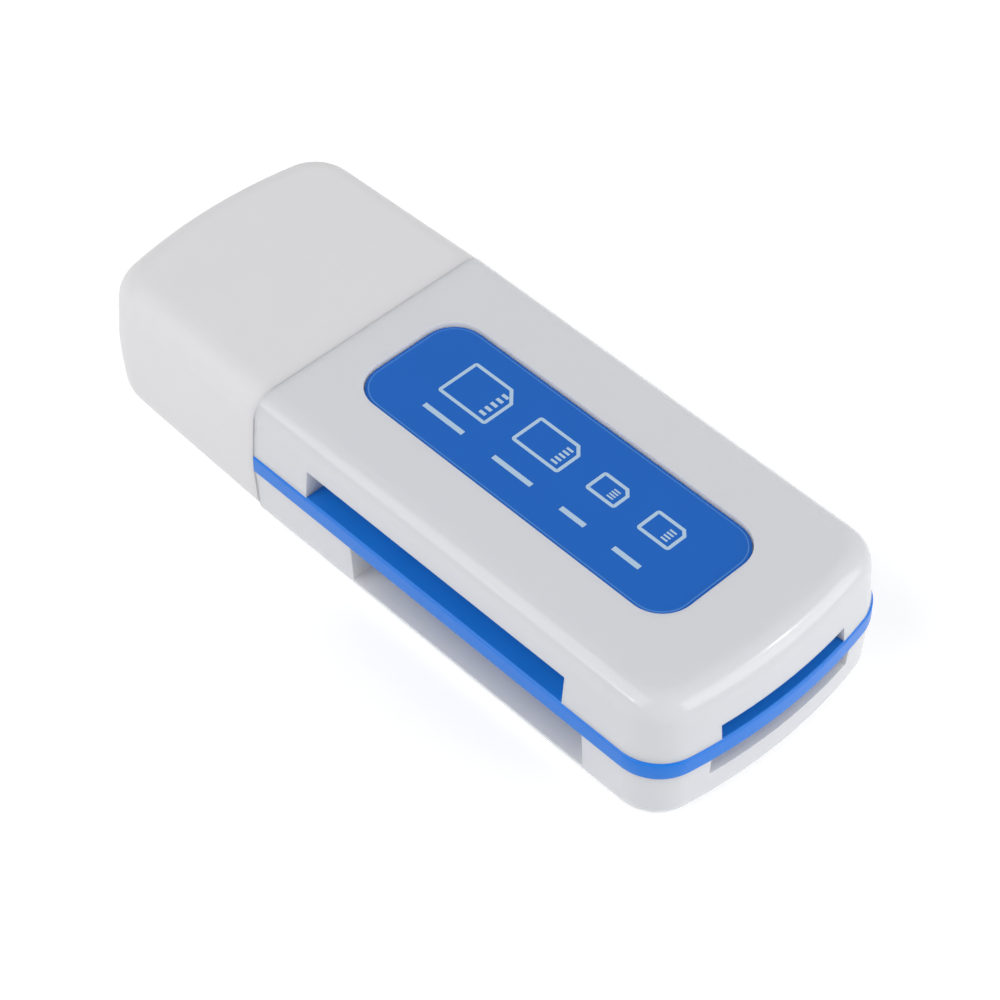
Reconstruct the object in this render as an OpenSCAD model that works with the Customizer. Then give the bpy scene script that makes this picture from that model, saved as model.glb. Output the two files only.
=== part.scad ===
// Pocket memory card reader with a pull-off cap over its plug.
// X runs along the length from the cap's tip to the bowed end, Z is up.
// The origin is under the middle of the whole length, on the surface that it lies on.

/* [Body] */
// Length of the body, from the cap's mouth to the middle of the bowed end
body_l = 39.5; // [38:0.5:60]
// Width over the edge of the tray
body_w = 22.2; // [20:0.2:32]
// Height of the bottom shell
bottom_h = 4.8; // [4.4:0.1:7]
// Thickness of the tray between the shells
band_h = 1.6; // [1.5:0.1:3]
// Height of the top shell
top_h = 5.1; // [4.5:0.1:7]
// How far the tray's edge stands out past the shells
band_proud = 0.1; // [0:0.05:0.3]
// Bevel on the tray's edge
band_bevel = 0.15; // [0.05:0.05:0.3]
// Wall and roof of the shells
wall = 1.2; // [0.8:0.1:1.5]
// Floor of the bottom shell, which the stick card slides on
floor_t = 1.4; // [1:0.1:1.6]

/* [Outline] */
// Radius of the body's corners, seen from above
corner_r = 3.5; // [2.5:0.1:5]
// Radius of the bow at the body's end, seen from above
end_bow_r = 42; // [30:1:120]
// Rounding of the top shell's rim
top_r = 1.8; // [0.8:0.1:2.2]
// Rounding of the bottom shell's rim
bottom_r = 1.6; // [0.6:0.1:2]
// Lean of the top shell's sides
top_draft = 5; // [1:0.5:7]
// Lean of the bottom shell's sides
bottom_draft = 3; // [1:0.5:5]

/* [Cap] */
// Length of the cap with the gap at its mouth
cap_l = 18.1; // [17.8:0.1:26]
// Wall of the cap
cap_wall = 1.4; // [1:0.1:1.6]
// Wall at the cap's tip
cap_tip_wall = 1.6; // [1:0.1:3]
// Angle by which each side narrows towards the tip
cap_taper = 1.8; // [0:0.1:3]
// Radius of the bow at the tip, seen from above
cap_bow_r = 38; // [25:1:100]
// Radius of the cap's corners, seen from above
cap_corner_r = 3.9; // [3:0.1:5]
// Rounding of the cap's upper edge
cap_top_r = 2.2; // [1.6:0.1:2.6]
// Rounding of the cap's lower edge
cap_bottom_r = 2.4; // [1.6:0.1:2.8]
// Gap between the cap's mouth and the body
seam_gap = 0.12; // [0.1:0.02:0.3]
// Length of the neck that the cap slides over
neck_l = 3; // [2:0.1:3.4]
// Room between the neck and the cap
neck_gap = 0.15; // [0.1:0.05:0.3]
// Wall of the neck, above and below
neck_wall = 0.7; // [0.5:0.1:0.8]
// Thickness of the ribs inside the cap
grip_t = 0.9; // [0.6:0.1:1.2]
// Room between those ribs and the plug
grip_gap = 0.12; // [0.1:0.02:0.3]

/* [Label] */
// Length of the label plate
label_l = 29.4; // [20:0.2:32]
// Width of the label plate
label_w = 9.9; // [7:0.1:14]
// Radius of its corners
label_r = 2.5; // [1:0.1:4]
// Thickness of the plate
label_t = 0.35; // [0.2:0.05:0.5]
// Depth of its recess
label_depth = 0.6; // [0.4:0.05:0.7]
// Room round the plate
label_gap = 0.08; // [0.05:0.01:0.2]
// Distance from the cap's mouth to the plate
label_x = 3.3; // [2:0.1:6]

/* [Card slots] */
// Width of the large card
large_card_w = 24; // [20:0.5:26]
// Thickness of the large card
large_card_t = 2.1; // [1.4:0.1:2.2]
// Width of the stick card
stick_card_w = 21.5; // [18:0.5:23]
// Thickness of the stick card
stick_card_t = 2.8; // [1.6:0.1:3]
// Width of the micro card
micro_card_w = 11; // [10:0.5:12]
// Thickness of the micro card
micro_card_t = 1; // [0.7:0.1:1.2]
// Width of the small stick card
small_card_w = 12.5; // [11:0.5:13]
// Thickness of the small stick card
small_card_t = 1.2; // [0.8:0.1:1.4]
// Play across the card
play_w = 0.5; // [0.3:0.1:0.8]
// Play over the card
play_t = 0.3; // [0.2:0.05:0.5]
// Distance from the cap's mouth to the large slot
large_x = 5.4; // [5:0.1:6]
// Distance from the cap's mouth to the stick slot
stick_x = 9.75; // [9:0.05:10]
// Thickness of the walls that guide the cards
guide_t = 1; // [0.8:0.1:1.2]
// Thickness of the ribs that the cards slide along
rail_t = 0.8; // [0.6:0.1:1.2]

/* [Plug] */
// Width of the plug
plug_w = 12; // [10:0.1:13]
// Height of the plug
plug_h = 4.5; // [4:0.1:5]
// Length of the plug past the neck
plug_out = 12.2; // [10:0.1:12.5]
// Thickness of the folded sheet
sheet_t = 0.3; // [0.2:0.05:0.4]
// Outer radius of its folds
fold_r = 0.6; // [0.45:0.05:0.9]
// Width of each window in the plug's shell
window_w = 2; // [1:0.1:3]
// Length of each window
window_l = 2.5; // [1:0.1:4]
// Distance from the plug's tip to its windows
window_x = 5.2; // [4:0.1:7]
// Thickness of the insulating tongue
tongue_t = 1.9; // [1.5:0.1:2.2]
// Room round the plug in the neck's wall
plug_gap = 0.05; // [0.02:0.01:0.2]

/* [Board] */
// Thickness of the circuit board
board_t = 0.8; // [0.6:0.1:1]
// Distance from the cap's mouth to the board
board_x = 2; // [1.8:0.1:2.4]
// Distance from the bowed end to the board
board_end = 2.6; // [2.4:0.1:3.5]
// Room round the board in the tray
board_gap = 0.1; // [0.05:0.05:0.2]
// Diameter of the posts that hold the shells together
post_d = 1.6; // [1.2:0.1:1.8]
// Diameter of the collars round the posts
collar_d = 2.8; // [2.6:0.1:3]
// Room round the posts
post_gap = 0.05; // [0.05:0.05:0.15]
// How deep the posts reach into the bottom shell
post_in = 1.6; // [1:0.1:2]

/* [Contacts] */
// Thickness of the contact strip
strip_t = 0.2; // [0.15:0.05:0.25]
// Length of a contact's soldered foot
foot_l = 1.9; // [1.6:0.1:2.2]
// Depth of the bar that holds a row of contacts
comb_d = 1.3; // [1:0.1:1.4]
// Length of the tip that bends down past a contact's crest
tip_l = 0.7; // [0.4:0.1:1]
// Room round a row in the tray
row_gap = 0.15; // [0.1:0.05:0.3]
// Room round a contact in its bar
comb_gap = 0.05; // [0.02:0.01:0.1]

/* [Hidden] */
$fn = 96;
eps = 0.01;
bite = 0.3;
lead = 1;
rim_steps = 10;
bow_steps = 5;

// Places along the length
x_end = (body_l + cap_l) / 2;
x_seam = x_end - body_l;
x_neck = x_seam - neck_l;
x_plug = x_neck - plug_out;
x_board = x_seam + board_x;
x_board_end = x_end - board_end;
x_plug_back = x_board - 0.2;

// Half the distance between the ribs inside the cap
grip_y = plug_w * 0.3;

// Levels
z_band = bottom_h;
z_top = bottom_h + band_h;
height = z_top + top_h;
z_roof = height - wall;
z_board = z_band + board_t;
z_plug = z_board - tongue_t - sheet_t;

// Half widths, and the shells' own end
half_w = body_w / 2;
shell_hw = half_w - band_proud;
shell_end = x_end - band_proud;
inner_hw = shell_hw - wall;
inner_end = shell_end - wall;

// Neck, sized to the cavity of the cap where its front stands
neck_in = cap_wall + neck_gap;
neck_hw = half_w - neck_l * tan(cap_taper) - neck_in;

// Card slots: width, height and first edge
large_w = large_card_w + play_w;
large_h = large_card_t + play_t;
large_x0 = x_seam + large_x;
large_x1 = large_x0 + large_w;
stick_w = stick_card_w + play_w;
stick_h = bottom_h - floor_t;
stick_x0 = x_seam + stick_x;
stick_x1 = stick_x0 + stick_w;
micro_w = micro_card_w + play_w;
micro_h = micro_card_t + play_t;
small_w = small_card_w + play_w;
small_h = small_card_t + play_t;

// Posts, in the four corners clear of the slots
post_in_from_mouth = 3.1;
post_in_from_end = 4.4;
post_y = inner_hw - collar_d / 2 - bite;
post_xs = [x_seam + post_in_from_mouth, x_end - post_in_from_end];
board_clear = 1.5;
board_y0 = -(post_y - board_clear);
board_y1 = inner_hw - 0.8;
chip_x = x_board + 3.7;
chip_y = 1.2;

// Rows of contacts: count, pitch, strip width, rise of the crest, reach to it, height of the bar
LARGE_ROW = [9, 2.5, 1.2, z_top - z_board + 0.9, 4.6, z_top - z_board + 0.6];
STICK_ROW = [10, 2, 0.9, 1.2, 4.6, 1.6];
MICRO_ROW = [8, 1.1, 0.7, z_top - z_board + 0.5, 3.6, z_top - z_board + 0.5];
SMALL_ROW = [11, 1, 0.6, 0.8, 3.3, 1.2];
comb_margin = 0.3;
side_row_y = inner_hw - 1;
end_row_gap = 0.3;
micro_row_x = large_x1 + guide_t + end_row_gap;
small_row_x = stick_x1 + guide_t + end_row_gap;

// Plug contacts: place across and width
PLUG_PINS = [3.5, 1, -1, -3.5];
plug_pin_w = 1;
plug_pin_in = 0.9;
plug_tail = 1.5;
tongue_in = 0.4;
tongue_nose = 0.5;
tongue_back_l = 3.2;

STEEL = [0.78, 0.79, 0.8];
GOLD = [0.86, 0.7, 0.36];
WHITE = [0.93, 0.94, 0.95];
CAP_WHITE = [0.91, 0.9, 0.9];
BLUE = [0.1, 0.36, 0.78];
LABEL_BLUE = [0.13, 0.37, 0.73];
GREEN = [0.08, 0.36, 0.2];
BLACK = [0.08, 0.08, 0.09];
CERAMIC = [0.72, 0.6, 0.46];

function unit(v) = v / norm(v);
function turned(v) = [-v[1], v[0]];
function polar(r, a) = [r * cos(a), r * sin(a)];

// Side direction of a bent path at point i, long enough to keep the strip's thickness in a bend
function mitre(path, i) =
    let (
        last = len(path) - 1,
        before = turned(unit(path[max(i, 1)] - path[max(i, 1) - 1])),
        after = turned(unit(path[min(i, last - 1) + 1] - path[min(i, last - 1)])),
        middle = unit(before + after)
    )
    middle / (middle * before);

// Outline of a strip of thickness t that follows a path
function strip_outline(path, t) = concat(
    [for (i = [0:len(path) - 1]) path[i] + mitre(path, i) * t / 2],
    [for (i = [len(path) - 1:-1:0]) path[i] - mitre(path, i) * t / 2]
);

// Centre of a plan corner that touches the side line and the bow at the end
function corner_centre(plan) =
    let (
        x0 = plan[0], hw = plan[1], taper = plan[2], xe = plan[3], bow = plan[4], r = plan[5],
        start = [x0 - r * sin(taper), hw - r * cos(taper)],
        along = [cos(taper), -sin(taper)],
        from = start - [xe - bow, 0],
        half_b = from * along,
        reach = -half_b + sqrt(half_b * half_b - from * from + pow(bow - r, 2))
    )
    start + reach * along;

// Outline of a plan as one closed line, with its corners and its bow in short steps
function plan_outline(plan) =
    let (
        c = corner_centre(plan), bow_x = plan[3] - plan[4], swing = atan2(c[1], c[0] - bow_x),
        half = concat(
            [[plan[0] - lead, plan[1] + lead * tan(plan[2])]],
            round_edge(c, plan[5], 90 - plan[2], swing),
            [for (i = [1:bow_steps]) [bow_x, 0] + polar(plan[4], swing * (1 - i / (bow_steps + 0.5)))]
        )
    )
    concat(half, [for (i = [len(half) - 1:-1:0]) [half[i][0], -half[i][1]]]);

// Slice of a disc between two angles, for a round corner in a section
module pie(r, a0, a1) {
    intersection() {
        circle(r);
        polygon([[0, 0], polar(2 * r, a0), polar(2 * r, (a0 + a1) / 2), polar(2 * r, a1)]);
    }
}

// Rectangle with round corners
module round_rect(w, h, r) {
    x = w / 2;
    y = h / 2;
    polygon([
        [x, r - y], [x, y - r], [x - r, y - r], [x - r, y],
        [r - x, y], [r - x, y - r], [-x, y - r], [-x, r - y],
        [r - x, r - y], [r - x, -y], [x - r, -y], [x - r, r - y]
    ]);
    for (q = [0:3])
        translate([q == 1 || q == 2 ? r - x : x - r, q > 1 ? r - y : y - r])
            pie(r, 90 * q, 90 * q + 90);
}

// Sweeps the section below it round a plan with straight sides and a bowed end, over a plain core.
// plan = [side start, half width there, taper, end, bow radius, corner radius].
// levels = [lower face, upper face]. In the section, 0 is the outline and $depth the reach inwards.
module swept(plan, levels, lead = 0) {
    c = corner_centre(plan);
    r = plan[5];
    taper = plan[2];
    bow_x = plan[3] - plan[4];
    swing = atan2(c[1], c[0] - bow_x);
    side_l = (c[0] - plan[0] + r * sin(taper)) / cos(taper);
    core_x = plan[0] - lead;
    core_y = c[1] + (c[0] - core_x) * tan(taper);
    translate([0, 0, levels[0]]) linear_extrude(levels[1] - levels[0])
        polygon([[core_x, -core_y], [c[0], -c[1]], c, [core_x, core_y]]);
    for (side = [0, 1]) mirror([0, side, 0]) {
        translate([plan[0], plan[1], 0]) rotate(-taper) translate([-lead, 0, 0])
            rotate([90, 0, 90]) linear_extrude(side_l + lead) let ($depth = r + bite) children();
        translate([c[0], c[1], 0]) rotate_extrude(angle = 90 - taper - swing, start = swing)
            intersection() {
                translate([r, 0]) let ($depth = r + bite) children();
                translate([0, -height]) square([r + bite, 3 * height]);
            }
    }
    translate([bow_x, 0, 0]) rotate_extrude(angle = 2 * swing, start = -swing)
        translate([plan[4], 0]) let ($depth = plan[3] - c[0] + 1) children();
}

// Points of a rounded edge about a centre, from one angle to the next
function round_edge(centre, r, a0, a1) = [
    for (i = [0:rim_steps]) centre + polar(r, a0 + (a1 - a0) * i / rim_steps)
];

// Section with a leaning side and a rounded upper rim
module rim_section(h, draft, r, below = 0) {
    centre = [-(h - r) * tan(draft) - r / cos(draft), h - r];
    polygon(concat(
        [[-$depth, -below], [below * tan(draft), -below]],
        round_edge(centre, r, draft, 90),
        [[-$depth, h]]
    ));
}

// Section of the tray, with both edges bevelled
module band_section() {
    polygon([
        [-$depth, 0], [-band_bevel, 0], [0, band_bevel],
        [0, band_h - band_bevel], [-band_bevel, band_h], [-$depth, band_h]
    ]);
}

// Section of the cap: it leans both ways from the band's level and is rounded above and below
module cap_section(low, high, low_r, high_r) {
    lower = [-(z_band - low - low_r) * tan(bottom_draft) - low_r / cos(bottom_draft), low + low_r];
    upper = [-(high - high_r - z_top) * tan(top_draft) - high_r / cos(top_draft), high - high_r];
    polygon(concat(
        [[-$depth, low]],
        round_edge(lower, low_r, -90, -bottom_draft),
        [[0, z_band], [0, z_top]],
        round_edge(upper, high_r, top_draft, 90),
        [[-$depth, high]]
    ));
}

// Plan of the shells, drawn in by a wall
function shell_plan(inset) = [
    x_seam + inset, shell_hw - inset, 0, shell_end - inset, end_bow_r - inset, corner_r - inset
];

// Plan of the cap in its own direction, with its tip at +X
function cap_plan(side_inset, tip_inset) = [
    seam_gap - x_seam, half_w - side_inset, cap_taper,
    x_end - tip_inset, cap_bow_r - tip_inset, cap_corner_r - side_inset
];

// The cap's section, drawn in by a wall and run along X as one closed bar
module cap_bar(x0, x1, hw, inset) {
    for (side = [0, 1]) mirror([0, side, 0]) translate([x0, hw, 0]) rotate([90, 0, 90])
        linear_extrude(x1 - x0) let ($depth = hw + bite)
            cap_section(inset, height - inset, cap_bottom_r - inset, cap_top_r - inset);
}

// The part of the neck between two levels
module neck(z0, z1) {
    difference() {
        cap_bar(x_neck, x_seam + bite, neck_hw, neck_in);
        translate([x_neck - lead, -body_w, z1]) cube([neck_l + 2 * lead, 2 * body_w, height]);
        translate([x_neck - lead, -body_w, z0 - height]) cube([neck_l + 2 * lead, 2 * body_w, height]);
    }
}

// Hollow of the neck behind its front wall, open through the body's own end wall
module neck_hollow() {
    translate([x_neck + wall, 0, height / 2]) rotate([90, 0, 90]) linear_extrude(neck_l + wall)
        round_rect(2 * (neck_hw - wall), height - 2 * neck_in - 2 * neck_wall, fold_r);
}

// Bar in the neck between the plug and the hollow's roof or floor
module plug_clamp(from, to) {
    translate([x_seam - rail_t, -plug_w / 2 + fold_r, from]) cube([rail_t, plug_w - 2 * fold_r, to - from]);
}

// Opening for the plug in the neck's front wall
module plug_opening() {
    translate([x_neck - lead, 0, z_plug + plug_h / 2]) rotate([90, 0, 90]) linear_extrude(neck_l + 2 * lead)
        round_rect(plug_w + 2 * plug_gap, plug_h + 2 * plug_gap, fold_r + plug_gap);
}

module at_posts() {
    for (x = post_xs, y = [-post_y, post_y]) translate([x, y, 0]) children();
}

// Slot that opens in the near long side
module side_slot(x0, w, z0, h) {
    translate([x0, -body_w, z0]) cube([w, body_w - inner_hw + 2 * wall, h]);
}

// Slot that opens in the bowed end
module end_slot(w, z0, h) {
    translate([inner_end - wall, -w / 2, z0]) cube([3 * wall, w, h]);
}

// The label's outline, as a block between two levels
module label_block(z0, z1, gap) {
    translate([x_seam + label_x + label_l / 2, 0, z0]) linear_extrude(z1 - z0)
        round_rect(label_l + 2 * gap, label_w + 2 * gap, label_r + gap);
}

// How far the bow has fallen back at a distance from the middle
function bow_drop(r, y) = r - sqrt(r * r - y * y);

// Rib at y that runs from x0 into the wall of the bowed end, and leans with that wall.
// It stands on the level of the band and bites into the roof or the floor.
module end_rib(x0, y, t, from, to, draft) {
    reach = inner_end - bow_drop(end_bow_r - wall, abs(y)) + bite;
    translate([0, y + t / 2, 0]) rotate([90, 0, 0]) linear_extrude(t)
        polygon([[x0, from], [reach, from], [reach - abs(to - from) * tan(draft), to], [x0, to]]);
}

// Ribs under the roof: card guides, card rails, the clamp over the plug, and the collars of the posts
module top_ribs() {
    roof = z_roof + bite;
    guide_y = inner_hw + bite;
    for (x = [large_x0 - guide_t, large_x1])
        translate([x, -guide_y, z_top]) cube([guide_t, 2 * guide_y, roof - z_top]);
    for (i = [1:3])
        translate([large_x0 + i * large_w / 4 - rail_t / 2, -guide_y, z_top + large_h])
            cube([rail_t, guide_y + side_row_y - foot_l, roof - z_top - large_h]);
    for (side = [-1, 1]) {
        end_rib(large_x1 + guide_t / 2, side * (micro_w + guide_t) / 2, guide_t, z_top, roof, top_draft);
        end_rib(large_x1 + guide_t / 2, side * micro_w / 4, rail_t, z_top + micro_h, roof, top_draft);
    }
    plug_clamp(z_plug + plug_h, height - neck_in - neck_wall + bite);
    at_posts() translate([0, 0, z_top]) cylinder(d = collar_d, h = roof - z_top);
}

module top_shell() color(WHITE) {
    difference() {
        union() {
            difference() {
                union() {
                    translate([0, 0, z_top])
                        swept(shell_plan(0), [0, top_h]) rim_section(top_h, top_draft, top_r);
                    neck(z_top, height);
                }
                translate([0, 0, z_top])
                    swept(shell_plan(wall), [-eps, top_h - wall])
                        rim_section(top_h - wall, top_draft, top_r - wall, eps);
                neck_hollow();
            }
            top_ribs();
        }
        side_slot(large_x0, large_w, z_top - eps, large_h + eps);
        end_slot(micro_w, z_top - eps, micro_h + eps);
        plug_opening();
        label_block(height - label_depth, height + lead, label_gap);
    }
    at_posts() translate([0, 0, z_band - post_in]) cylinder(d = post_d, h = top_h + post_in);
}

// Ribs on the floor: card guides, the small card's rails, the cradle of the plug and the bosses
module bottom_ribs() {
    low = floor_t - bite;
    guide_y = inner_hw + bite;
    rise = z_band - low;
    for (x = [stick_x0 - guide_t, stick_x1])
        translate([x, -guide_y, low]) cube([guide_t, 2 * guide_y, rise]);
    for (side = [-1, 1]) {
        end_rib(stick_x1 + guide_t / 2, side * (small_w + guide_t) / 2, guide_t, z_band, low, bottom_draft);
        end_rib(stick_x1 + guide_t / 2, side * small_w / 4, rail_t, z_band - small_h, low, bottom_draft);
    }
    plug_clamp(neck_in + neck_wall - bite, z_plug);
    at_posts() translate([0, 0, low]) cylinder(d = collar_d, h = rise);
}

module bottom_shell() color(WHITE) difference() {
    union() {
        difference() {
            union() {
                translate([0, 0, z_band]) mirror([0, 0, 1])
                    swept(shell_plan(0), [0, bottom_h]) rim_section(bottom_h, bottom_draft, bottom_r);
                neck(0, z_band);
            }
            translate([0, 0, z_band]) mirror([0, 0, 1])
                swept(shell_plan(wall), [-eps, bottom_h - floor_t])
                    rim_section(bottom_h - floor_t, bottom_draft, bottom_r - wall, eps);
            neck_hollow();
        }
        bottom_ribs();
    }
    side_slot(stick_x0, stick_w, floor_t, stick_h + eps);
    end_slot(small_w, z_band - small_h, small_h + eps);
    plug_opening();
    at_posts() translate([0, 0, z_band - post_in - bite])
        cylinder(d = post_d + 2 * post_gap, h = post_in + 2 * bite);
}

// Outline of the board, with two corners cut back for the posts and notches for the plug's tabs
module board_outline(gap) {
    cut = [post_xs[0] + board_clear, post_xs[1] - board_clear];
    polygon([
        [x_board - gap, board_y0 - gap], [x_board_end + gap, board_y0 - gap],
        [x_board_end + gap, -board_y0 + gap], [cut[1] + gap, -board_y0 + gap],
        [cut[1] + gap, board_y1 + gap], [cut[0] - gap, board_y1 + gap],
        [cut[0] - gap, -board_y0 + gap], [x_board - gap, -board_y0 + gap]
    ]);
}

// Space of one row's bar and springs, cut through the tray above the board
module row_window(row) {
    translate([-row_gap, -comb_l(row) / 2 - row_gap, 0])
        cube([reach(row) + tip_l + 3 * row_gap, comb_l(row) + 2 * row_gap, z_top - z_band + eps]);
}

module middle_tray() color(BLUE) difference() {
    union() {
        translate([0, 0, z_band]) swept([x_seam, half_w, 0, x_end, end_bow_r, corner_r], [0, band_h])
            band_section();
        neck(z_band, z_top);
    }
    translate([0, 0, z_band - eps]) linear_extrude(board_t + eps) board_outline(board_gap);
    translate([x_neck - lead, -plug_w / 2 - plug_gap, z_band - lead])
        cube([x_board - x_neck + plug_tail + 2 * lead, plug_w + 2 * plug_gap, band_h + 2 * lead]);
    at_large_row() row_window(LARGE_ROW);
    at_micro_row() row_window(MICRO_ROW);
    at_posts() translate([0, 0, z_band - lead])
        cylinder(d = post_d + 2 * post_gap, h = band_h + 2 * lead);
}

module label_plate() color(LABEL_BLUE) {
    low = height - label_depth;
    label_block(low, low + label_t, 0);
}

// Rib inside the cap, from the wall to the plug, with its end sloped where the plug comes in
module grip_rib(from, to) {
    tip_x = -x_end + cap_tip_wall - bite;
    mouth_x = x_neck - lead;
    slope = 1.2;
    rotate([90, 0, 0]) linear_extrude(grip_t, center = true)
        polygon([[tip_x, from], [mouth_x, from], [mouth_x - slope, to], [tip_x, to]]);
}

// Hollow of the cap: its section drawn along the length and cut to its plan
module cap_hollow() {
    plan = cap_plan(cap_wall, cap_tip_wall);
    mirror([1, 0, 0]) intersection() {
        cap_bar(plan[0] - 2 * lead, plan[3] + lead, plan[1], cap_wall);
        linear_extrude(height) polygon(plan_outline(plan));
    }
}

module cap() color(CAP_WHITE) {
    difference() {
        mirror([1, 0, 0]) swept(cap_plan(0, 0), [0, height], lead)
            cap_section(0, height, cap_bottom_r, cap_top_r);
        translate([x_seam - seam_gap, -body_w, -lead])
            cube([2 * lead + wall, 2 * body_w, height + 2 * lead]);
        cap_hollow();
    }
    for (side = [-1, 1]) translate([0, side * grip_y, 0]) {
        grip_rib(height - cap_wall + bite, z_plug + plug_h + grip_gap);
        grip_rib(cap_wall - bite, z_plug - grip_gap);
    }
}

module circuit_board() color(GREEN) translate([0, 0, z_band]) linear_extrude(board_t) difference() {
    board_outline(0);
    for (side = [-1, 1])
        translate([x_board + plug_tail / 2, side * (plug_w - sheet_t) / 2])
            square([plug_tail + 2 * board_gap, sheet_t + board_gap], center = true);
}

// Folded steel shell: a tube with windows, a seam below, and two tabs on the board
module plug_shell() color(STEEL) {
    length = x_plug_back - x_plug;
    difference() {
        translate([x_plug, 0, z_plug + plug_h / 2]) rotate([90, 0, 90]) linear_extrude(length)
            difference() {
                round_rect(plug_w, plug_h, fold_r);
                round_rect(plug_w - 2 * sheet_t, plug_h - 2 * sheet_t, fold_r - sheet_t);
            }
        for (side = [-1, 1])
            translate([x_plug + window_x, side * plug_w / 4 - window_w / 2, z_plug - lead])
                cube([window_l, window_w, plug_h + 2 * lead]);
        translate([x_plug - lead, -sheet_t / 6, z_plug - lead])
            cube([length + 2 * lead, sheet_t / 3, lead + sheet_t + eps]);
    }
    for (side = [-1, 1])
        translate([x_plug_back - bite, side * (plug_w - sheet_t) / 2 - sheet_t / 2, z_band])
            cube([x_board + plug_tail - x_plug_back + bite, sheet_t, board_t]);
}

// Insulator: a tongue under the contacts and a block that fills the back of the shell
module plug_tongue() color(WHITE) {
    inside_w = plug_w - 2 * sheet_t;
    tip = x_plug + tongue_in;
    back = x_plug_back - bite;
    difference() {
        union() {
            rotate([90, 0, 0]) linear_extrude(inside_w - 2 * fold_r + 2 * sheet_t, center = true)
                polygon([
                    [tip, z_board - tongue_t], [back, z_board - tongue_t], [back, z_board],
                    [tip + tongue_nose, z_board], [tip, z_board - tongue_nose]
                ]);
            translate([back - tongue_back_l, 0, z_plug + plug_h / 2]) rotate([90, 0, 90])
                linear_extrude(tongue_back_l)
                    round_rect(inside_w, plug_h - 2 * sheet_t, fold_r - sheet_t);
        }
        for (y = PLUG_PINS)
            translate([x_plug, y - plug_pin_w / 2 - comb_gap, z_board])
                cube([x_plug_back - x_plug, plug_pin_w + 2 * comb_gap, strip_t + comb_gap]);
    }
}

module plug_contact(i) color(GOLD) {
    x0 = x_plug + tongue_in + plug_pin_in;
    translate([x0, PLUG_PINS[i - 1] - plug_pin_w / 2, z_board])
        cube([x_board + plug_tail - x0, plug_pin_w, strip_t]);
}

// Puts a row on the board's upper face, its own +X pointing to where the card comes from
module on_board_top(x, y, turn) {
    translate([x, y, z_board]) rotate(turn) children();
}

// The same on the board's lower face
module on_board_bottom(x, y, turn) {
    translate([x, y, z_band]) mirror([0, 0, 1]) rotate(turn) children();
}

module at_large_row() on_board_top(large_x0 + large_w / 2, side_row_y, -90) children();
module at_stick_row() on_board_bottom(stick_x0 + stick_w / 2, side_row_y, -90) children();
module at_micro_row() on_board_top(micro_row_x, 0, 0) children();
module at_small_row() on_board_bottom(small_row_x, 0, 0) children();

// The values of a row, by name
function count(row) = row[0];
function pitch(row) = row[1];
function strip_w(row) = row[2];
function crest(row) = row[3];
function reach(row) = row[4];
function bar_h(row) = row[5];
function comb_l(row) = count(row) * pitch(row) + 2 * comb_margin;
function contact_y(row, i) = (i - (count(row) + 1) / 2) * pitch(row);

// Contact spring i of a row: soldered foot, rising leaf, and a tip that bends down again
module contact(row, i) color(GOLD) {
    tip_drop = 0.5;
    path = [
        [0, strip_t / 2], [foot_l, strip_t / 2],
        [reach(row), crest(row) - strip_t / 2], [reach(row) + tip_l, crest(row) - tip_drop]
    ];
    translate([0, contact_y(row, i) + strip_w(row) / 2, 0]) rotate([90, 0, 0])
        linear_extrude(strip_w(row)) polygon(strip_outline(path, strip_t));
}

// Bar with a groove for the foot of each contact
module comb(row) color(BLACK) difference() {
    translate([foot_l - bite - comb_d, -comb_l(row) / 2, 0]) cube([comb_d, comb_l(row), bar_h(row)]);
    for (i = [1:count(row)])
        translate([-eps, contact_y(row, i) - strip_w(row) / 2 - comb_gap, -eps])
            cube([foot_l, strip_w(row) + 2 * comb_gap, strip_t + comb_gap + eps]);
}

module large_card_comb() at_large_row() comb(LARGE_ROW);
module stick_card_comb() at_stick_row() comb(STICK_ROW);
module micro_card_comb() at_micro_row() comb(MICRO_ROW);
module small_card_comb() at_small_row() comb(SMALL_ROW);

module large_card_contact(i) at_large_row() contact(LARGE_ROW, i);
module stick_card_contact(i) at_stick_row() contact(STICK_ROW, i);
module micro_card_contact(i) at_micro_row() contact(MICRO_ROW, i);
module small_card_contact(i) at_small_row() contact(SMALL_ROW, i);

// Moulded chip with bent legs along both sides
module controller_chip() color(BLACK) {
    l = 4;
    w = 7.4;
    h = 1.1;
    lift = 0.1;
    slant = 0.1;
    legs = 8;
    leg_pitch = 0.9;
    leg_w = 0.36;
    leg_t = 0.15;
    leg_z = lift + h / 2;
    foot_z = leg_t / 2 + 0.02;
    leg_path = [
        [l / 2 - bite, leg_z], [l / 2 + 0.25, leg_z], [l / 2 + 0.45, foot_z], [l / 2 + 0.8, foot_z]
    ];
    on_board_bottom(chip_x, chip_y, 0) {
        translate([0, w / 2, 0]) rotate([90, 0, 0]) linear_extrude(w) polygon([
            [slant - l / 2, lift], [l / 2 - slant, lift], [l / 2, leg_z],
            [l / 2 - slant, lift + h], [slant - l / 2, lift + h], [-l / 2, leg_z]
        ]);
        for (side = [0, 1], i = [1:legs]) mirror([side, 0, 0])
            translate([0, (i - (legs + 1) / 2) * leg_pitch + leg_w / 2, 0]) rotate([90, 0, 0])
                linear_extrude(leg_w) polygon(strip_outline(leg_path, leg_t));
    }
}

// Metal can of the crystal: a lid on a slightly wider base
module crystal() color(STEEL) {
    l = 5;
    w = 3.2;
    rim = 0.2;
    base_h = 0.35;
    lid_h = 0.75;
    on_board_bottom(chip_x, board_y0 + w / 2 + rim, 0) {
        linear_extrude(base_h) round_rect(l, w, rim + 0.1);
        translate([0, 0, base_h - eps]) linear_extrude(lid_h) round_rect(l - 2 * rim, w - 2 * rim, 2 * rim);
    }
}

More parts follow.
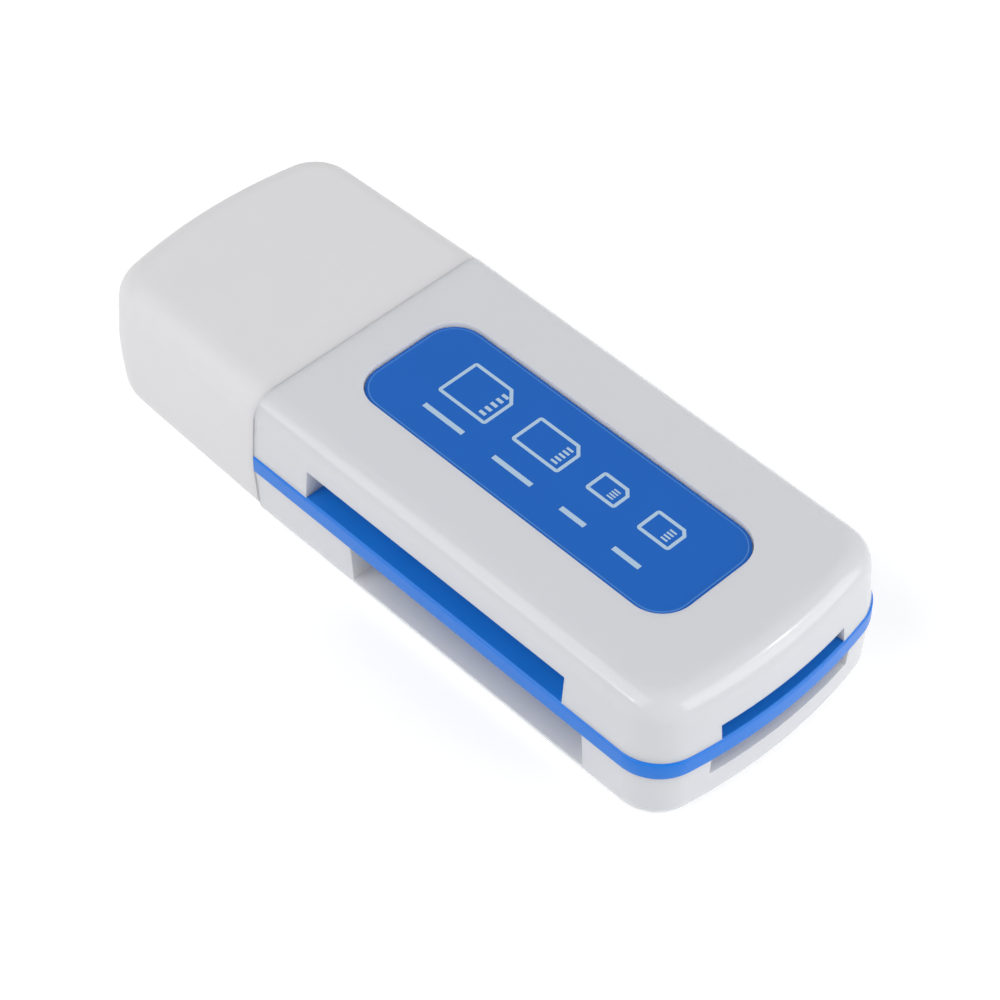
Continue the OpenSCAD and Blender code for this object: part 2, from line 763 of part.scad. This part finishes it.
// Ceramic capacitor with a metal end at each side; place counts from the board's edge
module capacitor(place) {
    l = 2;
    w = 1.25;
    h = 1.1;
    end_l = 0.5;
    skin = 0.04;
    on_board_bottom(chip_x + bite, board_y1 - place * (w + bite) + w / 2, 0) {
        color(CERAMIC) translate([-l / 2 + skin, -w / 2 + skin, skin])
            cube([l - 2 * skin, w - 2 * skin, h - 2 * skin]);
        for (x = [-l / 2, l / 2 - end_l]) color(STEEL) translate([x, -w / 2, 0]) cube([end_l, w, h]);
    }
}

// Lamp: a base with a round lens
module status_led() color([0.9, 0.95, 1]) {
    l = 0.8;
    w = 1.6;
    base_h = 0.3;
    lens_d = 0.7;
    on_board_bottom(chip_x + 2.3, board_y1 - w, 90) {
        translate([-w / 2, -l / 2, 0]) cube([w, l, base_h]);
        cylinder(d = lens_d, h = base_h + lens_d / 2);
    }
}

top_shell();
bottom_shell();
middle_tray();
label_plate();
cap();
circuit_board();
plug_shell();
plug_tongue();
large_card_comb();
stick_card_comb();
micro_card_comb();
small_card_comb();
for (i = [1:len(PLUG_PINS)]) plug_contact(i);
for (i = [1:count(LARGE_ROW)])
    large_card_contact(i);
for (i = [1:count(STICK_ROW)])
    stick_card_contact(i);
for (i = [1:count(MICRO_ROW)])
    micro_card_contact(i);
for (i = [1:count(SMALL_ROW)])
    small_card_contact(i);
controller_chip();
crystal();
capacitor(1);  // capacitor_1
capacitor(2);  // capacitor_2
status_led();
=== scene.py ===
# %% [markdown]
# This lesson gives a pocket card reader its looks. The reader is a stick about 58 mm long: a white
# gloss body in two halves, a blue tray between them whose edge shows as a band, a sunk blue label,
# four card slots, and a white satin cap that pulls off a flat metal plug.
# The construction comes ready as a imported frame, one object for each real piece. We load it, light it
# as in a small photo tent, and then take the pieces one by one.

# %% Load the frame
import math

import bpy
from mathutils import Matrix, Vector


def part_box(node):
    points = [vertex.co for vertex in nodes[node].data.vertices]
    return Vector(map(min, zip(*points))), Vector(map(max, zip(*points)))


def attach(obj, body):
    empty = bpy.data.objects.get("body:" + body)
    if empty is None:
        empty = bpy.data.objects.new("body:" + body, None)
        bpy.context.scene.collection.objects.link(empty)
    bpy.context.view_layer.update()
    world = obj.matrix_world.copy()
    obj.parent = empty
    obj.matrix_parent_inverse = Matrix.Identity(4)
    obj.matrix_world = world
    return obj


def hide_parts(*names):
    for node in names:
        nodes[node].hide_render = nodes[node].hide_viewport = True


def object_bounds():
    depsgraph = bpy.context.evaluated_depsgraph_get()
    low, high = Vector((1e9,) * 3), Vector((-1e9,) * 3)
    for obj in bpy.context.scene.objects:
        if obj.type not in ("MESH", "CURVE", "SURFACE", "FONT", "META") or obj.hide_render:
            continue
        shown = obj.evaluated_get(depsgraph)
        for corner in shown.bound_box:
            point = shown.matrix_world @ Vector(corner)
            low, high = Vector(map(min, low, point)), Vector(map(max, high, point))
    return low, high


MM = 0.001

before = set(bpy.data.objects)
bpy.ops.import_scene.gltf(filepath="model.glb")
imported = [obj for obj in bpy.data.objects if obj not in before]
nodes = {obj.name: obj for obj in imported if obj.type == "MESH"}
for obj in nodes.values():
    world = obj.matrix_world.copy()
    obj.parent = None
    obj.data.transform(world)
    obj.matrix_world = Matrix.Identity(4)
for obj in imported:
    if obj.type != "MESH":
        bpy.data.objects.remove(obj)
cad_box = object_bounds()
low, high = cad_box
print("nodes:", len(nodes), "size in mm:", [round(side / MM, 2) for side in high - low])

# %% [markdown]
# Operators act on everything that is selected, and a fresh import is selected all over. Three small
# helpers keep that under control. One clears the selection, and one leaves a single object active. The
# third opens an object for editing with only those of its points or faces selected that pass a test.

# %% Selection helpers
POINTS = (True, False, False)
FACES = (False, False, True)


def deselect_all():
    for thing in bpy.context.selected_objects:
        thing.select_set(False)


def pick(thing):
    deselect_all()
    thing.select_set(True)
    bpy.context.view_layer.objects.active = thing


def edit_only(thing, mode, wanted):
    bpy.ops.object.mode_set(mode="OBJECT")
    mesh = thing.data
    for group in (mesh.vertices, mesh.edges, mesh.polygons):
        for item in group:
            item.select = False
    items = mesh.vertices if mode == POINTS else mesh.polygons
    chosen = [item for item in items if wanted(item)]
    for item in chosen:
        item.select = True
    bpy.context.tool_settings.mesh_select_mode = mode
    bpy.ops.object.mode_set(mode="EDIT")
    return len(chosen)


deselect_all()
print("selected after clearing:", len(bpy.context.selected_objects))

# %% [markdown]
# The camera looks down on the reader from the corner between the slotted side and the bowed end.
# Its angle, distance and lens come from fitting the edges of the real object, so we place it by
# azimuth and elevation round a point near the middle of the body, as a photographer would think of it.
# The lamps are placed in the same way, so the direction gets a helper.

# %% Camera
VIEW_AZIMUTH = 46.06
VIEW_ELEVATION = 47.86
VIEW_DISTANCE = 216 * MM
VIEW_TARGET = Vector((0.8, 1.3, 1.6)) * MM
LENS_MM = 111.8
SENSOR_MM = 36
NEAREST = 0.01
FARTHEST = 20


def direction(azimuth, elevation):
    a = math.radians(azimuth)
    e = math.radians(elevation)
    return Vector((math.sin(a) * math.cos(e), -math.cos(a) * math.cos(e), math.sin(e)))


def look_back_along(thing, towards):
    thing.rotation_euler = (-towards).to_track_quat("-Z", "Y").to_euler()


view_back = direction(VIEW_AZIMUTH, VIEW_ELEVATION)
bpy.ops.object.camera_add(location=VIEW_TARGET + view_back * VIEW_DISTANCE)
camera = bpy.context.object
camera.name = "camera"
look_back_along(camera, view_back)
camera.data.sensor_width = SENSOR_MM
camera.data.lens = LENS_MM
camera.data.clip_start = NEAREST
camera.data.clip_end = FARTHEST
bpy.context.scene.camera = camera
bpy.context.scene.view_settings.view_transform = "Standard"
print("camera at", [round(c / MM, 1) for c in camera.location], "mm")

# %% [markdown]
# The world round the reader and the floor under it are white to the eye, but they should light the
# reader less than full white would. A Light Path node tells the two uses apart: this helper gives 1
# for a ray from the camera, in a mirror or through glass, and 0 for a ray that only carries light.

# %% A helper that tells seen rays from lighting rays
def seen_directly(tree):
    path = tree.nodes.new("ShaderNodeLightPath")
    seen = path.outputs["Is Camera Ray"]
    for kind in ("Is Glossy Ray", "Is Transmission Ray"):
        either = tree.nodes.new("ShaderNodeMath")
        either.operation = "MAXIMUM"
        tree.links.new(seen, either.inputs[0])
        tree.links.new(path.outputs[kind], either.inputs[1])
        seen = either.outputs[0]
    return seen


print("helper ready")

# %% [markdown]
# A pale product on white needs light from both sides and little from the top, so that the top face
# stays a shade darker than the sides. The world gives an even fill. To the camera and to mirrors it is
# plain white, and only the other rays see the weaker fill light.

# %% World
FILL = 0.43
WHITE = (1, 1, 1, 1)


def background(tree, strength):
    node = tree.nodes.new("ShaderNodeBackground")
    node.inputs["Color"].default_value = WHITE
    node.inputs["Strength"].default_value = strength
    return node


world = bpy.data.worlds.new("tent")
bpy.context.scene.world = world
world.use_nodes = True
tree = world.node_tree
tree.nodes.clear()
mix = tree.nodes.new("ShaderNodeMixShader")
out = tree.nodes.new("ShaderNodeOutputWorld")
tree.links.new(seen_directly(tree), mix.inputs["Fac"])
tree.links.new(background(tree, FILL).outputs[0], mix.inputs[1])
tree.links.new(background(tree, 1).outputs[0], mix.inputs[2])
tree.links.new(mix.outputs[0], out.inputs["Surface"])
print("world fill", FILL)

# %% [markdown]
# Two large soft lamps stand left and right of the camera. The left one faces the long side and stands
# at a height from which it shines into the card slots. The right one faces the bowed end. The corner
# between them gets a little less, which is what rounds it off. Two small bright lamps do one job only:
# the gloss of the rounded rim mirrors them as thin crisp lines, as with the bare tube of a studio light.

# %% Lamps
LAMP_DISTANCE = 0.5


def soft_lamp(name, azimuth, elevation, size, watts):
    towards = direction(azimuth, elevation)
    bpy.ops.object.light_add(type="AREA", location=towards * LAMP_DISTANCE)
    lamp = bpy.context.object
    lamp.name = name
    look_back_along(lamp, towards)
    lamp.data.shape = "SQUARE"
    lamp.data.size = size
    lamp.data.energy = watts


soft_lamp("lamp_left", azimuth=-18, elevation=44, size=0.4, watts=0.92)
soft_lamp("lamp_right", azimuth=116, elevation=17, size=0.4, watts=1.15)
soft_lamp("glint_left", azimuth=-20, elevation=24, size=0.05, watts=0.08)
soft_lamp("glint_right", azimuth=126, elevation=35, size=0.04, watts=0.07)

# %% [markdown]
# The floor is a white sheet. Lit by the tent it renders a little under white, so the camera, and
# mirrors, see it with some light of its own added. The shadow under the reader stays visible.

# %% Floor
FLOOR_SIZE = 6.0
FLOOR_DROP = 0.02 * MM
FLOOR_ALBEDO = 0.9
FLOOR_GLOW = 0.42


def floor_material():
    material = bpy.data.materials.new("white_sheet")
    material.use_nodes = True
    tree = material.node_tree
    tree.nodes.clear()
    strength = tree.nodes.new("ShaderNodeMath")
    strength.operation = "MULTIPLY"
    strength.inputs[1].default_value = FLOOR_GLOW
    diffuse = tree.nodes.new("ShaderNodeBsdfDiffuse")
    diffuse.inputs["Color"].default_value = (FLOOR_ALBEDO, FLOOR_ALBEDO, FLOOR_ALBEDO, 1)
    glow = tree.nodes.new("ShaderNodeEmission")
    add = tree.nodes.new("ShaderNodeAddShader")
    out = tree.nodes.new("ShaderNodeOutputMaterial")
    tree.links.new(seen_directly(tree), strength.inputs[0])
    tree.links.new(strength.outputs[0], glow.inputs["Strength"])
    tree.links.new(diffuse.outputs[0], add.inputs[0])
    tree.links.new(glow.outputs[0], add.inputs[1])
    tree.links.new(add.outputs[0], out.inputs["Surface"])
    return material


bpy.ops.mesh.primitive_plane_add(size=FLOOR_SIZE, location=(0, 0, -FLOOR_DROP))
floor = bpy.context.object
floor.name = "floor"
floor.data.materials.append(floor_material())
print("floor", FLOOR_SIZE, "m across")

# %% [markdown]
# Moulded plastic is never one flat colour. Up close its surface has a fine grain from the mould, and
# its gloss changes a little from place to place. One helper builds every surface here: a base colour
# with a slight cloudiness, a roughness that varies, and a bump of two sizes, all on Object coordinates
# so that the pattern stays on the piece. White plastic also lets light in a little way and out again,
# which glow_mm gives, the depth in millimetres. A stretch draws the grain out along drawn metal.

# %% A helper for moulded and drawn surfaces
GRAIN_HEIGHT = 0.2
WAVE_HEIGHT = 0.01
GLOW_SHARE = 0.5
GLOW_COLOURS = (1, 0.95, 0.9)
COAT_ROUGH = 0.05
LEAST_ROUGH = 0.02


def finish(name, colour, rough, cloud=0.03, rough_cloud=0.04, grain=0.05, grain_mm=0.3, wave=0.0,
           wave_mm=4.0, metallic=0.0, specular=0.5, coat=0.0, stretch=(1, 1, 1), glow_mm=0.0):
    material = bpy.data.materials.new(name)
    material.use_nodes = True
    tree = material.node_tree
    shader = tree.nodes["Principled BSDF"]
    shader.inputs["Metallic"].default_value = metallic
    shader.inputs["Specular IOR Level"].default_value = specular
    shader.inputs["Coat Weight"].default_value = coat
    shader.inputs["Coat Roughness"].default_value = COAT_ROUGH
    if glow_mm:
        shader.inputs["Subsurface Weight"].default_value = GLOW_SHARE
        shader.inputs["Subsurface Radius"].default_value = GLOW_COLOURS
        shader.inputs["Subsurface Scale"].default_value = glow_mm * MM
    place = tree.nodes.new("ShaderNodeTexCoord")
    scale = tree.nodes.new("ShaderNodeMapping")
    scale.inputs["Scale"].default_value = stretch
    tree.links.new(place.outputs["Object"], scale.inputs["Vector"])

    def noise(size_mm, detail):
        node = tree.nodes.new("ShaderNodeTexNoise")
        node.inputs["Scale"].default_value = 1 / (size_mm * MM)
        node.inputs["Detail"].default_value = detail
        tree.links.new(scale.outputs["Vector"], node.inputs["Vector"])
        return node.outputs["Fac"]

    def spread(factor, least, most):
        node = tree.nodes.new("ShaderNodeMapRange")
        node.inputs["To Min"].default_value = least
        node.inputs["To Max"].default_value = most
        tree.links.new(factor, node.inputs["Value"])
        return node.outputs["Result"]

    def bump(factor, strength, height):
        node = tree.nodes.new("ShaderNodeBump")
        node.inputs["Strength"].default_value = strength
        node.inputs["Distance"].default_value = height
        tree.links.new(factor, node.inputs["Height"])
        return node

    clouds = noise(wave_mm, 3)
    fine = noise(grain_mm, 2)
    tint = tree.nodes.new("ShaderNodeVectorMath")
    tint.operation = "SCALE"
    tint.inputs[0].default_value = colour
    tree.links.new(spread(clouds, 1 - cloud, 1 + cloud), tint.inputs["Scale"])
    tree.links.new(tint.outputs["Vector"], shader.inputs["Base Color"])
    gloss = spread(fine, max(rough - rough_cloud, LEAST_ROUGH), rough + rough_cloud)
    tree.links.new(gloss, shader.inputs["Roughness"])
    skin = bump(fine, grain, grain_mm * MM * GRAIN_HEIGHT)
    sag = bump(clouds, wave, wave_mm * MM * WAVE_HEIGHT)
    tree.links.new(skin.outputs["Normal"], sag.inputs["Normal"])
    tree.links.new(sag.outputs["Normal"], shader.inputs["Normal"])
    return material


print("helper ready")

# %% [markdown]
# The finishes that show. The body is a cool gloss white and the cap a slightly warmer satin one, as
# if moulded from another batch. The insides of the halves are less glossy, and their colour is painted
# paler and warmer than the body's, as painted light in the shade of the slots. The tray and the label
# are the same blue family, the label deeper, with a paler blue near its rim as a painted highlight.

# %% Finishes of the mouldings
BODY_WHITE = finish("body_white", (0.77, 0.785, 0.82), 0.13, cloud=0.01, rough_cloud=0.02,
                    grain=0.03, grain_mm=0.25, wave=0.12, glow_mm=1.2)
# Painted light: paler and warmer than the body white, standing in for light in the shaded slot insides.
INNER_MATTE_PAINTED_LIGHT = finish("inner_matte_painted_light", (0.94, 0.91, 0.87), 0.38, cloud=0.01, grain=0.1, grain_mm=0.15,
                     glow_mm=2.5)
CAP_WHITE = finish("cap_white", (0.85, 0.84, 0.86), 0.42, cloud=0.012, grain=0.12, grain_mm=0.12,
                   wave=0.1, glow_mm=1.2)
TRAY_BLUE = finish("tray_blue", (0.013, 0.222, 0.84), 0.25, cloud=0.04, grain=0.05, grain_mm=0.2,
                   specular=0.25)
LABEL_BLUE = finish("label_blue", (0.009, 0.143, 0.6), 0.16, cloud=0.03, grain=0.03, grain_mm=0.5,
                    specular=0.15, wave=0.1)
# Painted highlight: a paler blue for the slope just inside the label's rim.
LABEL_PAINTED_HIGHLIGHT = finish("label_painted_highlight", (0.05, 0.26, 0.76), 0.1, cloud=0.05, grain=0.03, grain_mm=0.3)
print("materials so far:", len(bpy.data.materials))

# %% [markdown]
# The finishes of the plug and of the inner pieces, which show when the cap is off or through a slot.
# Metals are fully metallic, and the plug's steel has its grain drawn out along the length, as the
# sheet came off the roll. The board's green is cloudy, since copper shows through the lacquer.

# %% Finishes of the plug and the inner pieces
PLUG_STEEL = finish("plug_steel", (0.55, 0.55, 0.56), 0.24, cloud=0.05, grain=0.12, grain_mm=0.15,
                    metallic=1.0, stretch=(0.15, 1, 1))
CONTACT_GOLD = finish("contact_gold", (0.83, 0.6, 0.25), 0.2, cloud=0.05, grain=0.05, grain_mm=0.1,
                      metallic=1.0)
INSULATOR = finish("white_insulator", (0.7, 0.7, 0.69), 0.4, grain=0.1, grain_mm=0.1)
BOARD_GREEN = finish("board_green", (0.015, 0.12, 0.05), 0.25, cloud=0.25, grain=0.15, grain_mm=0.5,
                     wave_mm=0.6)
BLACK = finish("black_moulding", (0.012, 0.012, 0.014), 0.45, cloud=0.15, grain=0.2, grain_mm=0.08)
CAN_STEEL = finish("can_steel", (0.55, 0.55, 0.56), 0.3, grain=0.1, grain_mm=0.2, metallic=1.0)
CERAMIC = finish("ceramic", (0.42, 0.3, 0.18), 0.5, cloud=0.08, grain=0.2, grain_mm=0.1)
LENS = finish("lamp_lens", (0.75, 0.8, 0.82), 0.1, grain=0.02, grain_mm=0.2, coat=0.5)
print("materials now:", len(bpy.data.materials))

# %% [markdown]
# Each piece of the frame now gets its finish. The names tell the kinds apart: every contact is gold,
# every comb is black moulding, and so on.

# %% Dress the frame
FINISH_OF = {
    "top_shell": BODY_WHITE,
    "bottom_shell": BODY_WHITE,
    "middle_tray": TRAY_BLUE,
    "label_plate": LABEL_BLUE,
    "cap": CAP_WHITE,
    "circuit_board": BOARD_GREEN,
    "plug_shell": PLUG_STEEL,
    "plug_tongue": INSULATOR,
    "controller_chip": BLACK,
    "crystal": CAN_STEEL,
    "capacitor_1": CERAMIC,
    "capacitor_2": CERAMIC,
    "status_led": LENS,
}


def dress(thing, material):
    thing.data.materials.clear()
    thing.data.materials.append(material)


for name, thing in nodes.items():
    if "contact" in name:
        dress(thing, CONTACT_GOLD)
    elif name.endswith("comb"):
        dress(thing, BLACK)
    else:
        dress(thing, FINISH_OF[name])
print("dressed", len(nodes), "nodes")

# %% [markdown]
# The moulded pieces come from the frame as loose triangles with sharp edges. A real moulding has tiny
# round edges that catch the light. So we take a copy of each and merge its points. Points closer than
# a few thousandths of a millimetre are leftovers of the solid modeller, and they go too. Then the flat
# triangles are joined into whole faces. Where two parts of a solid only just met, a sheet can be left
# inside it. Each of its edges has one face or three, never two, and that is how it is found.

# %% A helper that copies a piece of the frame as one clean skin
MERGE = 0.004 * MM
FLAT = math.radians(0.4)


def faces_at_edges(mesh):
    sides = {}
    for face in mesh.polygons:
        for key in face.edge_keys:
            sides.setdefault(key, []).append(face)
    return sides


def clean_copy(node, name, material):
    mesh = nodes[node].data.copy()
    mesh.name = name
    piece = bpy.data.objects.new(name, mesh)
    bpy.context.scene.collection.objects.link(piece)
    pick(piece)
    bpy.ops.mesh.customdata_custom_splitnormals_clear()
    bpy.ops.object.mode_set(mode="EDIT")
    bpy.ops.mesh.select_all(action="SELECT")
    bpy.ops.mesh.remove_doubles(threshold=MERGE)
    bpy.ops.mesh.dissolve_degenerate(threshold=MERGE)
    bpy.ops.mesh.dissolve_limited(angle_limit=FLAT)
    bpy.ops.object.mode_set(mode="OBJECT")
    sides = faces_at_edges(piece.data)
    edit_only(piece, FACES, lambda face: all(len(sides[key]) != 2 for key in face.edge_keys))
    bpy.ops.mesh.delete(type="FACE")
    bpy.ops.object.mode_set(mode="OBJECT")
    left = sum(len(faces) != 2 for faces in faces_at_edges(piece.data).values())
    print(name, "edges that are still open or double:", left)
    dress(piece, material)
    return piece


print("helper ready")

# %% [markdown]
# Only the true edges of the moulding may be broken, such as the rims of the slots. The fine facets of
# a round rim must stay. The angle between the two faces of an edge tells them apart, and very small
# faces don't count. The chosen edges get a bevel weight, which the Bevel modifier then follows.
# Weighted normals keep the large flats flat while the rounded rims shade smoothly.

# %% A helper that breaks the sharp edges
SHARP = math.radians(36)
SMALL_FACE = 0.002 * MM ** 2
SHORT_EDGE = 0.04 * MM
EDGE_STEPS = 3
FLAT_WEIGHT = 80


def weigh_sharp_edges(mesh):
    sides = faces_at_edges(mesh)
    weight = mesh.attributes.new("bevel_weight_edge", "FLOAT", "EDGE")
    count = 0
    for edge in mesh.edges:
        faces = sides.get(edge.key, [])
        a, b = (mesh.vertices[v].co for v in edge.vertices)
        if len(faces) != 2 or (a - b).length < SHORT_EDGE:
            continue
        if min(face.area for face in faces) < SMALL_FACE:
            continue
        if faces[0].normal.angle(faces[1].normal, 0) > SHARP:
            weight.data[edge.index].value = 1
            count += 1
    return count


def break_edges(piece, width, steps=EDGE_STEPS):
    edges = weigh_sharp_edges(piece.data)
    pick(piece)
    bevel = piece.modifiers.new("edges", "BEVEL")
    bevel.width = width
    bevel.segments = steps
    bevel.limit_method = "WEIGHT"
    bevel.use_clamp_overlap = True
    bpy.ops.object.modifier_apply(modifier="edges")
    bpy.ops.object.shade_smooth_by_angle(angle=SHARP)
    weigh = piece.modifiers.new("normals", "WEIGHTED_NORMAL")
    weigh.weight = FLAT_WEIGHT
    weigh.keep_sharp = True
    bpy.ops.object.modifier_apply(modifier="normals")
    print(piece.name, "edges broken:", edges, "faces:", len(piece.data.polygons))


print("helper ready")

# %% [markdown]
# With the two helpers a moulding needs only a few lines: copy it, break its edges, and say which node
# it stands for, which body it rides on and which finish it has. A mould is polished only where it
# shows, so the faces of the two halves that look in towards the middle are less glossy. We see them
# through the slots, where shade falls, and their colour is painted paler and warmer than the body's as
# painted light, in a finish of their own.

# %% Body halves and tray
BODY_EDGE = 0.1 * MM
TRAY_EDGE = 0.08 * MM


def stand_in(piece, node, body):
    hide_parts(node)
    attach(piece, body)


def moulding(node, name, body, material, width):
    piece = clean_copy(node, name, material)
    break_edges(piece, width)
    stand_in(piece, node, body)
    return piece


body_top = moulding("top_shell", "body_top", "reader", BODY_WHITE, BODY_EDGE)
body_bottom = moulding("bottom_shell", "body_bottom", "reader", BODY_WHITE, BODY_EDGE)
moulding("middle_tray", "blue_tray", "reader", TRAY_BLUE, TRAY_EDGE)

middle = (low + high) / 2
for half in (body_top, body_bottom):
    half.data.materials.append(INNER_MATTE_PAINTED_LIGHT)
    # The inward faces get the finish that is painted paler, as painted light in the slots.
    inner = [face for face in half.data.polygons if face.normal.dot(face.center - middle) < 0]
    for face in inner:
        face.material_index = 1
    print(half.name, "faces that look inwards:", len(inner))

# %% [markdown]
# The cap is a separate moulding. Pushed home it sits tight against the body, and only a hair line
# shows. The frame keeps a clear gap there for the motion, so the copy's lip is drawn out towards the
# body before its edges are broken.

# %% Cap
LIP = 0.11 * MM
CAP_EDGE = 0.09 * MM
TOUCHING = 0.001 * MM

mouth_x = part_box("cap")[1][0]
cap = clean_copy("cap", "pull_off_cap", CAP_WHITE)
lip_points = [point for point in cap.data.vertices if point.co.x > mouth_x - TOUCHING]
for point in lip_points:
    point.co.x += LIP
break_edges(cap, CAP_EDGE)
stand_in(cap, "cap", "cap")
print("points of the lip drawn out:", len(lip_points))

# %% [markdown]
# The label is a thin plate of clear plastic with blue colour under it, glued in its recess. Its middle
# stands a hair higher than its margin, with a narrow slope between them. Two insets of the top face
# make it: the first draws the margin, and the second is the slope, which gets a paler blue of its own
# as a painted highlight, the bright line just inside the rim.

# %% Label
MARGIN = 0.22 * MM
SLOPE = 0.08 * MM
RISE = 0.025 * MM
LABEL_ROUND = 0.1 * MM
LEVEL = 0.99
STEEP = 0.85

label = clean_copy("label_plate", "blue_label", LABEL_BLUE)
label.data.materials.append(LABEL_PAINTED_HIGHLIGHT)
print("top faces of the label:", edit_only(label, FACES, lambda face: face.normal.z > LEVEL))
bpy.ops.mesh.inset(thickness=MARGIN)
bpy.ops.mesh.inset(thickness=SLOPE, depth=RISE)
bpy.ops.object.mode_set(mode="OBJECT")
# The slope faces get the paler blue, a painted highlight line.
for face in label.data.polygons:
    if STEEP < face.normal.z < LEVEL:
        face.material_index = 1
break_edges(label, LABEL_ROUND)
stand_in(label, "label_plate", "reader")

# %% [markdown]
# The plug's sleeve is folded from sheet steel. It gets a much finer edge than the mouldings, since
# sheet is cut and not moulded.

# %% Plug sleeve
SHEET_EDGE = 0.05 * MM

moulding("plug_shell", "plug_sleeve", "reader", PLUG_STEEL, SHEET_EDGE)

# %% [markdown]
# The label's print is our own and says nothing: four plain card outlines, one for each slot, with a
# short bar under each. Ink is a thin film, so each mark is a flat outline that a Solidify modifier
# makes a few hundredths of a millimetre thick.

# %% Helpers for flat marks of ink
PRINT_WHITE = finish("print_white", (0.5, 0.68, 0.87), 0.3, cloud=0.03, grain=0.1, grain_mm=0.1,
                     specular=0.3)
INK = 0.03 * MM

label_low, label_high = (Vector(corner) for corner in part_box("label_plate"))
label_mid = (label_low + label_high) / 2
ink_height = label_high.z + RISE


def flat_plate(name, x, y, width, depth):
    deselect_all()
    bpy.ops.mesh.primitive_plane_add(size=1, location=(x, y, ink_height))
    plate = bpy.context.object
    plate.name = name
    plate.scale = (width, depth, 1)
    bpy.ops.object.transform_apply(location=True, rotation=True, scale=True)
    return plate


def ink_film(mark):
    pick(mark)
    film = mark.modifiers.new("film", "SOLIDIFY")
    film.thickness = INK
    film.offset = 0
    bpy.ops.object.modifier_apply(modifier="film")
    dress(mark, PRINT_WHITE)
    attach(mark, "reader")


print("the print lies at", round(ink_height / MM, 3), "mm")

# %% [markdown]
# A card's outline starts as a plane. One corner is cut and the other three are rounded, and an inset
# leaves a frame whose middle is taken out. Its contacts are a row of short stripes along the cut end,
# joined to the outline as one mark.

# %% Helpers for a card's mark
LINE = 0.26 * MM
CARD_ROUND = 0.25 * MM
ROUND_STEPS = 4
STRIPE_LENGTH = 2.2 * LINE
STRIPE_FROM_END = 3.4 * LINE
STRIPES_FROM_SIDE = 1.7 * LINE
STRIPE_SHARE = 0.5


def card_outline(name, x, y, width, depth, cut):
    mark = flat_plate(name, x, y, width, depth)
    edit_only(mark, POINTS, lambda point: point.co.x > x and point.co.y > y)
    bpy.ops.mesh.bevel(offset=cut, segments=1, affect="VERTICES")
    edit_only(mark, POINTS, lambda point: point.co.x < x or point.co.y < y - depth / 4)
    bpy.ops.mesh.bevel(offset=CARD_ROUND, segments=ROUND_STEPS, affect="VERTICES")
    bpy.ops.mesh.select_all(action="SELECT")
    bpy.ops.mesh.inset(thickness=LINE)
    bpy.ops.mesh.delete(type="FACE")
    bpy.ops.object.mode_set(mode="OBJECT")
    return mark


def card_stripes(x, y, width, depth, count):
    pitch = (depth - 4 * LINE) / count
    at_x = x + width / 2 - STRIPE_FROM_END
    first_y = y - depth / 2 + STRIPES_FROM_SIDE + pitch / 2
    return [
        flat_plate("stripe", at_x, first_y + i * pitch, STRIPE_LENGTH, pitch * STRIPE_SHARE)
        for i in range(count)
    ]


def card_mark(name, x, y, width, depth, cut, stripes):
    mark = card_outline(name, x, y, width, depth, cut)
    parts = card_stripes(x, y, width, depth, stripes)
    pick(mark)
    for part in parts:
        part.select_set(True)
    bpy.ops.object.join()
    ink_film(mark)


print("helpers ready")

# %% [markdown]
# The four marks stand in a row along the label, in the order of the slots. The row is written as a
# table, with each card's width, depth and cut corner in millimetres and its number of stripes.

# %% Print on the label
CARDS = (
    ("large", 4.6, 3.7, 1.0, 5),
    ("stick", 4.4, 2.9, 0.7, 5),
    ("micro", 2.7, 2.0, 0.5, 4),
    ("small", 2.9, 2.2, 0.45, 4),
)
ROW_START = 10.4 * MM
SPACE = 2.1 * MM
CARD_UP = 1.0 * MM
BAR_DOWN = 2.4 * MM
BAR_SHARE = 0.82
BAR_DEPTH = 0.4 * MM

at_x = label_mid.x - ROW_START
for kind, width_mm, depth_mm, cut_mm, stripes in CARDS:
    width = width_mm * MM
    x = at_x + width / 2
    card_y = label_mid.y + CARD_UP
    card_mark("print_" + kind + "_card", x, card_y, width, depth_mm * MM, cut_mm * MM, stripes)
    bar_y = label_mid.y - BAR_DOWN
    bar = flat_plate("print_" + kind + "_bar", x, bar_y, width * BAR_SHARE, BAR_DEPTH)
    ink_film(bar)
    at_x += width + SPACE
print("printed marks:", len(CARDS) * 2)
